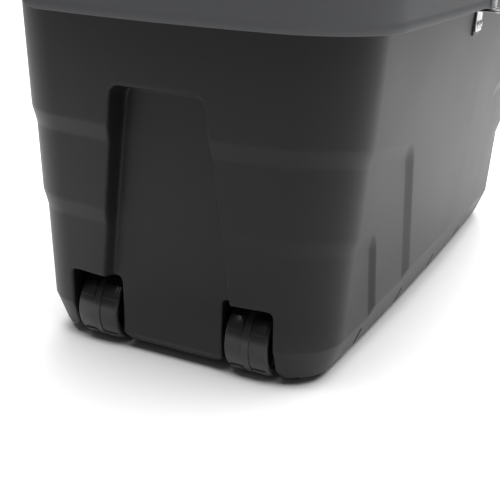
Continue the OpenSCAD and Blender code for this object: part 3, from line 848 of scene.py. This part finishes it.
    def rim_rings(self, columns: Sequence[Column]) -> list[Ring]:
        """Return the rings over the rim flange, from the wall to the inside."""
        top = self.rim_z
        out = self.lean(top)
        far = out + self.rim_reach
        low = top - self.rim_lip
        under = top - self.wall
        inner = out - self.wall
        hem = far - self.lip_w
        profile = [
            (self.lean(under - 3), under - 3), (self.lean(top) + 0.6, under - 0.8), (out + 2.5, under),
            (hem - 1, under), (hem, under - 1), (hem, low + 0.8), (hem + 0.8, low), (far - 1.0, low),
            (far - 0.3, low + 0.3), (far, low + 1.0), (far, top - 2.0), (far - 0.6, top - 0.6),
            (far - 2.0, top), (inner + 2.0, top), (inner + 0.6, top - 0.6), (inner, top - 2.0),
        ]
        rings = []
        for offset, z in profile:
            points = [self.plain_spot(c, offset) for c in columns]
            rings.append(lambda k, p=points, h=z: (*p[k], h))
        return rings

    def plain_spot(self, column: Column, out: float) -> Point:
        """Return a column's point on the plain outline near the rim."""
        if column.kind is Kind.CORNER:
            x, y = PLAN.round_pt(column.low, self.mouth_edge, out)
        elif column.kind is Kind.END:
            y = self.end_y(column, self.rim_z, 0.0)
            x = PLAN.end_x(y, out)
        else:
            along = self.along_at(column, self.rim_z)
            return along, column.side * PLAN.side_y(along, out)
        return column.end * x, column.side * y

    def build(self, finishes: Finishes) -> None:
        """Build the tub's skin and its pads."""
        maker = Maker()
        columns = self.columns()
        r = self.bottom_r
        rings: list[Ring] = []
        for k in range(4):
            angle = math.radians(90 * (1 - k / 4))
            lift = r - r * math.sin(angle)
            rings.append(self.ring_at(columns, self.floor_z + lift, 0.0, r * (1 - math.cos(angle))))
        rings += [self.ring_at(columns, z, 0.0) for z in self.wall_rows()]
        rings += self.rim_rings(columns)
        rings += [self.ring_at(columns, float(z), self.wall) for z in self.inner_rows()]
        rings += [self.ring_at(columns, self.floor_z + self.wall + 0.9, self.wall, 0.9),
                  self.ring_at(columns, self.floor_z + self.wall, self.wall, 3.0)]
        maker.stack(len(columns), rings)
        Pads().add(maker)
        maker.finish("tub_moulding", "tub", finishes.tub, ["tub"])


class Pads:
    """Bosses that the tub and the fittings share: hinge pads, a lug pad, axle and foot bosses."""

    hinge_x = 300.0
    hinge_w = 60.0
    pad_y = 264.775
    pad_low = 409.0
    pad_high = 484.0
    axle_x = -440.0
    axle_z = 52.0
    boss_r = 12.0
    boss_len = 12.0
    foot_x = 418.0
    foot_y = 165.0

    def add(self, maker: Maker) -> None:
        """Add the pads to the tub's mesh."""
        for side in (-1, 1):
            maker.block((side * self.hinge_x - self.hinge_w / 2 - 4, self.pad_y - 12, self.pad_low),
                        (side * self.hinge_x + self.hinge_w / 2 + 4, self.pad_y, self.pad_high), 1.5)
            inner = side * (TubForm.well_y - TubForm.well_half - TubForm.wall)
            outer = side * (TubForm.well_y + TubForm.well_half + TubForm.wall)
            for start, way in ((inner, -side), (outer, side)):
                maker.turned([(0.01, -2), (self.boss_r, -2), (self.boss_r, self.boss_len - 1),
                              (self.boss_r - 1, self.boss_len), (0.01, self.boss_len)],
                             turn_to((self.axle_x, start, self.axle_z), (0, way, 0)), 32)
            maker.turned([(0.01, 0), (12, 0), (12, 12), (11, 13), (0.01, 13)],
                         turn_to((self.foot_x, side * self.foot_y, 18), (0, 0, 1)), 32)
        maker.block((-20, -266.0, 428), (20, -250, 468.5), 1.5)


# ------------------------------------------------------------------------- lid
class Lid:
    """The lid's outer skin, with a stepped raised field on its crown."""

    skirt_out = TubForm.draft * 505 + 14 + 3 + 3
    skirt_z = 474.0
    rim_z = 505.0
    shoulder_z = 551.0
    skin = 3.0
    plain_end = 160.2
    plain_side = 411.5

    def columns(self) -> list[Column]:
        """Return the plain columns round the lid."""
        ys = [0, 25, 50, 75, 100, 125, 145, 158]
        near = [Column(Kind.END, float(y)) for y in ys]
        steps = 16
        turns = [mix(PLAN.turn_from, PLAN.turn_to, k / steps) for k in range(1, steps + 1)]
        near += [Column(Kind.CORNER, turn) for turn in turns]
        far = [Column(c.kind, c.low, end=-1) for c in near]
        count = 24
        side = [Column(Kind.SIDE, mix(380.0, -380.0, k / count)) for k in range(count + 1)]
        half = near + side + far[::-1]
        return half + [Column(c.kind, c.low, end=c.end, side=-1) for c in half[-2:0:-1]]

    def spot(self, column: Column, out: float) -> Point:
        """Return a column's point on the outline moved outward."""
        if column.kind is Kind.CORNER:
            x, y = PLAN.corner_pt(column.low, out)
        elif column.kind is Kind.END:
            turn = PLAN.corner_pt(PLAN.turn_from, out)[1]
            y = column.low * turn / self.plain_end
            x = PLAN.end_c + math.sqrt((PLAN.end_r + out) ** 2 - y * y)
        else:
            edge = PLAN.corner_pt(PLAN.turn_to, out)[0]
            x = column.low * edge / self.plain_side
            return x, column.side * PLAN.side_y(x, out)
        return column.end * x, column.side * y

    def profile(self) -> list[Point]:
        """Return (offset, height) pairs over the outside, skirt to crown."""
        out, z = self.skirt_out, self.shoulder_z
        low = self.skirt_z
        pairs = [(out - 0.7, low), (out - 0.15, low + 0.3), (out, low + 1), (out, low + 8),
                 (out - 0.9, low + 10.5), (out - 1.3, low + 14), (out - 2.3, z - 14)]
        for degrees in range(0, 91, 10):
            turn = math.radians(degrees)
            pairs.append((out - 2.5 - 11.5 * (1 - math.cos(turn)), z - 11 + 11 * math.sin(turn)))
        raised = (
            (20, 1.6), (30, 4.6), (42, 8.6), (52, 11.6), (56, 12.8), (58, 13.6), (60, 14.9), (62, 16.6),
            (64, 17.9), (66, 18.6), (72, 19.4), (84, 20.8), (98, 22.0), (110, 22.8), (120, 23.5),
        )
        pairs += [(out - inward, z + rise) for inward, rise in raised]
        return pairs

    def build(self, finishes: Finishes) -> None:
        """Build the lid's skin as one closed shell."""
        columns = self.columns()
        outer = self.profile()
        crown_from = self.shoulder_z - 5
        inner = [(o - self.skin, z - self.skin if z > crown_from else z) for o, z in reversed(outer[2:])]
        inner.append((self.skirt_out - self.skin, self.skirt_z + 0.4))
        rings = []
        for offset, z in [*outer[::-1], *inner[::-1]]:
            points = [self.spot(c, offset) for c in columns]
            rings.append(lambda k, p=points, h=z: self.relieved(p[k], h))
        maker = Maker()
        maker.stack(len(columns), rings)
        maker.finish("lid_moulding", "lid", finishes.lid, ["lid_shell"])

    def relieved(self, point: Point, z: float) -> tuple[float, float, float]:
        """Return a point of the lid, with the back of the skirt lifted clear."""
        x, y = point
        lift = smooth((y - 168.0) / 58.0) * (self.rim_z - 2 - self.skirt_z)
        share = max(0.0, min(1.0, (self.rim_z + 20 - z) / (self.rim_z + 20 - self.skirt_z)))
        return x, y, z + lift * share


# ---------------------------------------------------------------------- wheels
class Wheel:
    """One wheel: a spoked hub and a smooth tyre with a few raised pads."""

    x = -440.0
    z = 52.0
    radius = 52.0
    half = 32.0
    tyre_t = 7.0
    pads = 4
    pad_arc = 26.0
    pad_from = 39.0
    band = 5.0
    groove = 1.6

    def __init__(self, name: str, y: float) -> None:
        """Keep the wheel's name and its distance from the middle line."""
        self.name = name
        self.y = y

    def place(self) -> Matrix:
        """Return the placing of the wheel's axis."""
        side = 1 if self.y > 0 else -1
        return turn_to((self.x, self.y, self.z), (0, side, 0))

    def tyre(self, finishes: Finishes) -> None:
        """Build the tyre: a turned core, a centre band and the pads."""
        maker = Maker()
        core = self.radius - self.groove
        seat = self.radius - self.tyre_t
        half = self.half
        edge = [(core, half - 3.2), (core - 1.0, half - 1.2), (core - 3.2, half),
                (seat + 0.6, half), (seat, half - 0.6)]
        maker.turned([(r, -h) for r, h in reversed(edge)] + edge, self.place(), 96)
        top = self.radius
        band = self.band
        maker.turned([(core - 0.8, -band), (top - 0.5, -band), (top, -band + 0.5), (top, band - 0.5),
                      (top - 0.5, band), (core - 0.8, band)], self.place(), 96)
        outer = self.half
        side = 1 if self.y > 0 else -1
        for k in range(self.pads):
            middle = 180 + 90 * side - side * (self.pad_from + self.pad_arc / 2)
            start = middle - self.pad_arc / 2 + k * 360 / self.pads
            for row in (-1, 1):
                inner = band + self.groove
                profile = [(core - 0.8, inner), (top, inner), (top, outer - 5.6),
                           (top - 0.6, outer - 4.6), (core - 0.8, outer - 3.0)]
                self.pad(maker, [(r, h * row) for r, h in profile[::row]], start)
        maker.finish(f"{self.name}_tread", self.name, finishes.wheel, [f"{self.name}_tyre"])

    def pad(self, maker: Maker, profile: Sequence[Point], start: float) -> None:
        """Add one raised pad, with rounded edges, at an angle round the tread."""
        pad = maker.turned(profile, Matrix.Identity(4), 10, self.pad_arc)
        kept = set(maker.bm.verts) - set(pad)
        edges = {e for v in pad for e in v.link_edges if e.calc_face_angle(0.0) > math.radians(40)}
        maker.round_edges(edges, 0.5, 3)
        pad = [v for v in maker.bm.verts if v not in kept]
        turn = self.place() @ Matrix.Rotation(math.radians(start), 4, "Z") @ Matrix.Scale(1 / MM, 4)
        bmesh.ops.transform(maker.bm, matrix=Matrix.Scale(MM, 4) @ turn, verts=pad)

    def hub(self, finishes: Finishes) -> None:
        """Build the hub: rim ring, boss, web and spokes with rounded edges."""
        maker = Maker()
        seat = self.radius - self.tyre_t
        half = self.half
        bore = 5.06
        boss = bore + 7
        upper = [(seat - 0.05, half - 2), (seat - 4, half - 2), (seat - 5, half - 3), (seat - 5, 4),
                 (seat - 6.5, 3), (boss + 1.5, 3), (boss, 4), (boss, half - 1), (boss - 1, half),
                 (bore + 0.5, half), (bore, half - 0.5)]
        maker.turned([(r, -h) for r, h in reversed(upper)] + upper, self.place(), 72)
        for k in range(6):
            for low, high in ((2.5, half - 5), (-half + 5, -2.5)):
                before = set(maker.bm.verts)
                maker.block((boss - 1.2, -1.6, low), (seat - 4.4, 1.6, high), 0.8)
                made = [v for v in maker.bm.verts if v not in before]
                turn = self.place() @ Matrix.Rotation(math.radians(60 * k), 4, "Z")
                scaled = Matrix.Scale(MM, 4) @ turn @ Matrix.Scale(1 / MM, 4)
                bmesh.ops.transform(maker.bm, matrix=scaled, verts=made)
        maker.finish(f"{self.name}_core", self.name, finishes.wheel, [f"{self.name}_hub"])

    def build(self, finishes: Finishes) -> None:
        """Build both pieces of the wheel."""
        self.tyre(finishes)
        self.hub(finishes)


# -------------------------------------------------------------------- fittings
@dataclass(frozen=True)
class RoundedCopy:
    """A fitting taken from its CAD node, with its edges rounded."""

    node: str
    body: str
    slot: Slot
    bevel: float = 0.6

    def build(self, material: bpy.types.Material) -> None:
        """Copy the node's mesh, join its flat faces and round its edges."""
        maker = Maker()
        maker.add_copy(self.node)
        bm = maker.bm
        bmesh.ops.dissolve_limit(bm, angle_limit=math.radians(1.0), verts=bm.verts, edges=bm.edges)
        steep = math.radians(50)
        sharp = [e for e in bm.edges if len(e.link_faces) == 2 and e.calc_face_angle(0.0) > steep]
        maker.round_edges(sharp, self.bevel, 2)
        maker.finish(f"{self.node}_part", self.body, material, [self.node])


@dataclass(frozen=True)
class ScrewSet:
    """Button-head screws with a six-sided socket, in place of a CAD node."""

    node: str
    body: str
    way: tuple[float, float, float]
    flush: bool = False

    def places(self) -> list[Vector]:
        """Return the outer middle of each screw's head, in millimetres."""
        bm = bmesh.new()
        bm.from_mesh(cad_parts[self.node].data)
        bmesh.ops.remove_doubles(bm, verts=bm.verts, dist=1e-6)
        left, heads = set(bm.verts), []
        while left:
            island, queue = [], [next(iter(left))]
            left.discard(queue[0])
            while queue:
                vert = queue.pop()
                island.append(vert.co.copy())
                for edge in vert.link_edges:
                    other = edge.other_vert(vert)
                    if other in left:
                        left.discard(other)
                        queue.append(other)
            way = Vector(self.way)
            far = max(island, key=lambda p: p.dot(way)).dot(way)
            face = [p for p in island if p.dot(way) > far - 1e-5]
            heads.append(sum(face, Vector()) / len(face) / MM)
        bm.free()
        return sorted(heads, key=lambda p: tuple(round(c, 2) for c in p))

    def build(self, material: bpy.types.Material) -> None:
        """Build every screw of the set as one piece."""
        maker = Maker()
        count = 24

        def ring(radius: float, height: float, place: Matrix, six: bool = False) -> Ring:
            def point(k: int) -> tuple[float, float, float]:
                angle = math.tau * k / count
                reach = radius
                if six:
                    reach = radius * math.cos(math.pi / 6) / math.cos((angle % (math.pi / 3)) - math.pi / 6)
                return tuple(place @ Vector((reach * math.cos(angle), reach * math.sin(angle), height)))
            return point

        for head in self.places():
            place = turn_to(head, self.way)
            tall = 1.25 if self.flush else 2.5
            seat = 0.05 - tall
            shape = [(2.45, -tall - 6), (2.45, seat), (4.95, seat), (5.0, 0.5 - tall), (4.75, -0.85),
                     (4.2, -0.35), (3.4, -0.08), (2.9, 0.0)]
            rings = [ring(r, h, place) for r, h in shape]
            socket = [(1.9, 0.0), (1.8, -0.12), (1.75, -1.1)]
            rings += [ring(r, h, place, True) for r, h in socket]
            maker.stack(count, rings)
        maker.finish(f"{self.node}_set", self.body, material, [self.node], 30.0)


# ----------------------------------------------------------------------- stage
class Studio:
    """The plain pale floor, the soft lights and the camera."""

    sensor = 36.0
    lens = 67.9752
    shift = (-0.06, -0.06)
    yaw = -66.14
    pitch = 18.52
    roll = 2.7
    eye = (-1504.89, -607.9, 611.2)

    def camera(self) -> None:
        """Place the camera at its viewing angle."""
        data = bpy.data.cameras.new("camera")
        data.sensor_width = self.sensor
        data.lens = self.lens
        data.shift_x, data.shift_y = self.shift
        yaw, pitch, roll = (math.radians(v) for v in (self.yaw, self.pitch, self.roll))
        level = math.cos(pitch)
        forward = -Vector((math.sin(yaw) * level, -math.cos(yaw) * level, math.sin(pitch)))
        right = forward.cross(Vector((0, 0, 1))).normalized()
        up = right.cross(forward)
        across = right * math.cos(roll) + up * math.sin(roll)
        upward = -right * math.sin(roll) + up * math.cos(roll)
        camera = bpy.data.objects.new("camera", data)
        bpy.context.scene.collection.objects.link(camera)
        turn = Matrix((across, upward, -forward)).transposed().to_4x4()
        camera.matrix_world = Matrix.Translation(Vector(self.eye) * MM) @ turn
        bpy.context.scene.camera = camera

    def floor(self) -> None:
        """Lay a plain pale floor that reaches past the view."""
        bm = bmesh.new()
        bmesh.ops.create_grid(bm, x_segments=2, y_segments=2, size=24.0)
        mesh = bpy.data.meshes.new("floor")
        bm.to_mesh(mesh)
        bm.free()
        floor = bpy.data.objects.new("floor", mesh)
        material = bpy.data.materials.new("pale_floor")
        material.use_nodes = True
        shader = material.node_tree.nodes["Principled BSDF"]
        shader.inputs["Base Color"].default_value = (0.86, 0.86, 0.86, 1.0)
        shader.inputs["Roughness"].default_value = 0.6
        mesh.materials.append(material)
        bpy.context.scene.collection.objects.link(floor)

    def light(self, name: str, place: Sequence[float], aim: Sequence[float], size: float,
              power: float) -> None:
        """Hang one soft square light that faces a point."""
        data = bpy.data.lights.new(name, "AREA")
        data.size = size
        data.energy = power
        lamp = bpy.data.objects.new(name, data)
        lamp.location = place
        lamp.rotation_euler = (Vector(aim) - Vector(place)).to_track_quat("-Z", "Y").to_euler()
        bpy.context.scene.collection.objects.link(lamp)

    def build(self) -> None:
        """Make the camera, the floor, the sky and the lights."""
        self.camera()
        self.floor()
        world = bpy.data.worlds.new("studio_sky")
        world.use_nodes = True
        world.node_tree.nodes["Background"].inputs["Color"].default_value = (1.0, 1.0, 1.0, 1.0)
        world.node_tree.nodes["Background"].inputs["Strength"].default_value = 0.12
        bpy.context.scene.world = world
        bpy.context.scene.view_settings.view_transform = "Standard"
        self.light("overhead", (0.3, -0.5, 3.6), (0.3, -0.5, 0.0), 5.5, 450.0)
        self.light("backdrop", (6.5, 2.4, 3.6), (6.5, 2.4, 0.0), 6.0, 560.0)


def build_fittings(finishes: Finishes) -> None:
    """Build the hinges, lugs, axles, feet and screws."""
    for side in ("left", "right"):
        RoundedCopy(f"hinge_plate_{side}", "tub", Slot.TUB, 0.8).build(finishes.tub)
        RoundedCopy(f"hinge_arm_{side}", "lid", Slot.LID, 0.8).build(finishes.lid)
        RoundedCopy(f"hinge_pin_{side}", "tub", Slot.STEEL, 0.4).build(finishes.steel)
        RoundedCopy(f"axle_{side}", "tub", Slot.STEEL, 0.5).build(finishes.steel)
        RoundedCopy(f"foot_{side}", "tub", Slot.FOOT, 0.8).build(finishes.rubber)
    RoundedCopy("axle_clips", "tub", Slot.STEEL, 0.25).build(finishes.steel)
    RoundedCopy("axle_washers", "tub", Slot.STEEL, 0.3).build(finishes.steel)
    RoundedCopy("tub_lug", "tub", Slot.STEEL, 0.5).build(finishes.steel)
    RoundedCopy("lid_lug", "lid", Slot.STEEL, 0.5).build(finishes.steel)
    RoundedCopy("lid_liner", "lid", Slot.LID, 0.6).build(finishes.lid)
    ScrewSet("hinge_plate_screws", "tub", (0, 1, 0)).build(finishes.steel)
    ScrewSet("hinge_arm_screws", "lid", (0, 1, 0)).build(finishes.steel)
    ScrewSet("tub_lug_screws", "tub", (0, -1, 0)).build(finishes.steel)
    ScrewSet("lid_lug_screws", "lid", (0, -1, 0)).build(finishes.steel)
    ScrewSet("liner_screws", "lid", (0, 0, -1), True).build(finishes.steel)


def main() -> None:
    """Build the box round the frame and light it."""
    logging.basicConfig(level=logging.INFO, format="%(name)s: %(message)s")
    Studio().build()
    finishes = Finishes()
    Tub().build(finishes)
    Lid().build(finishes)
    Wheel("wheel_left", 117.0).build(finishes)
    Wheel("wheel_right", -117.0).build(finishes)
    build_fittings(finishes)


if __name__ == "__main__":
    main()
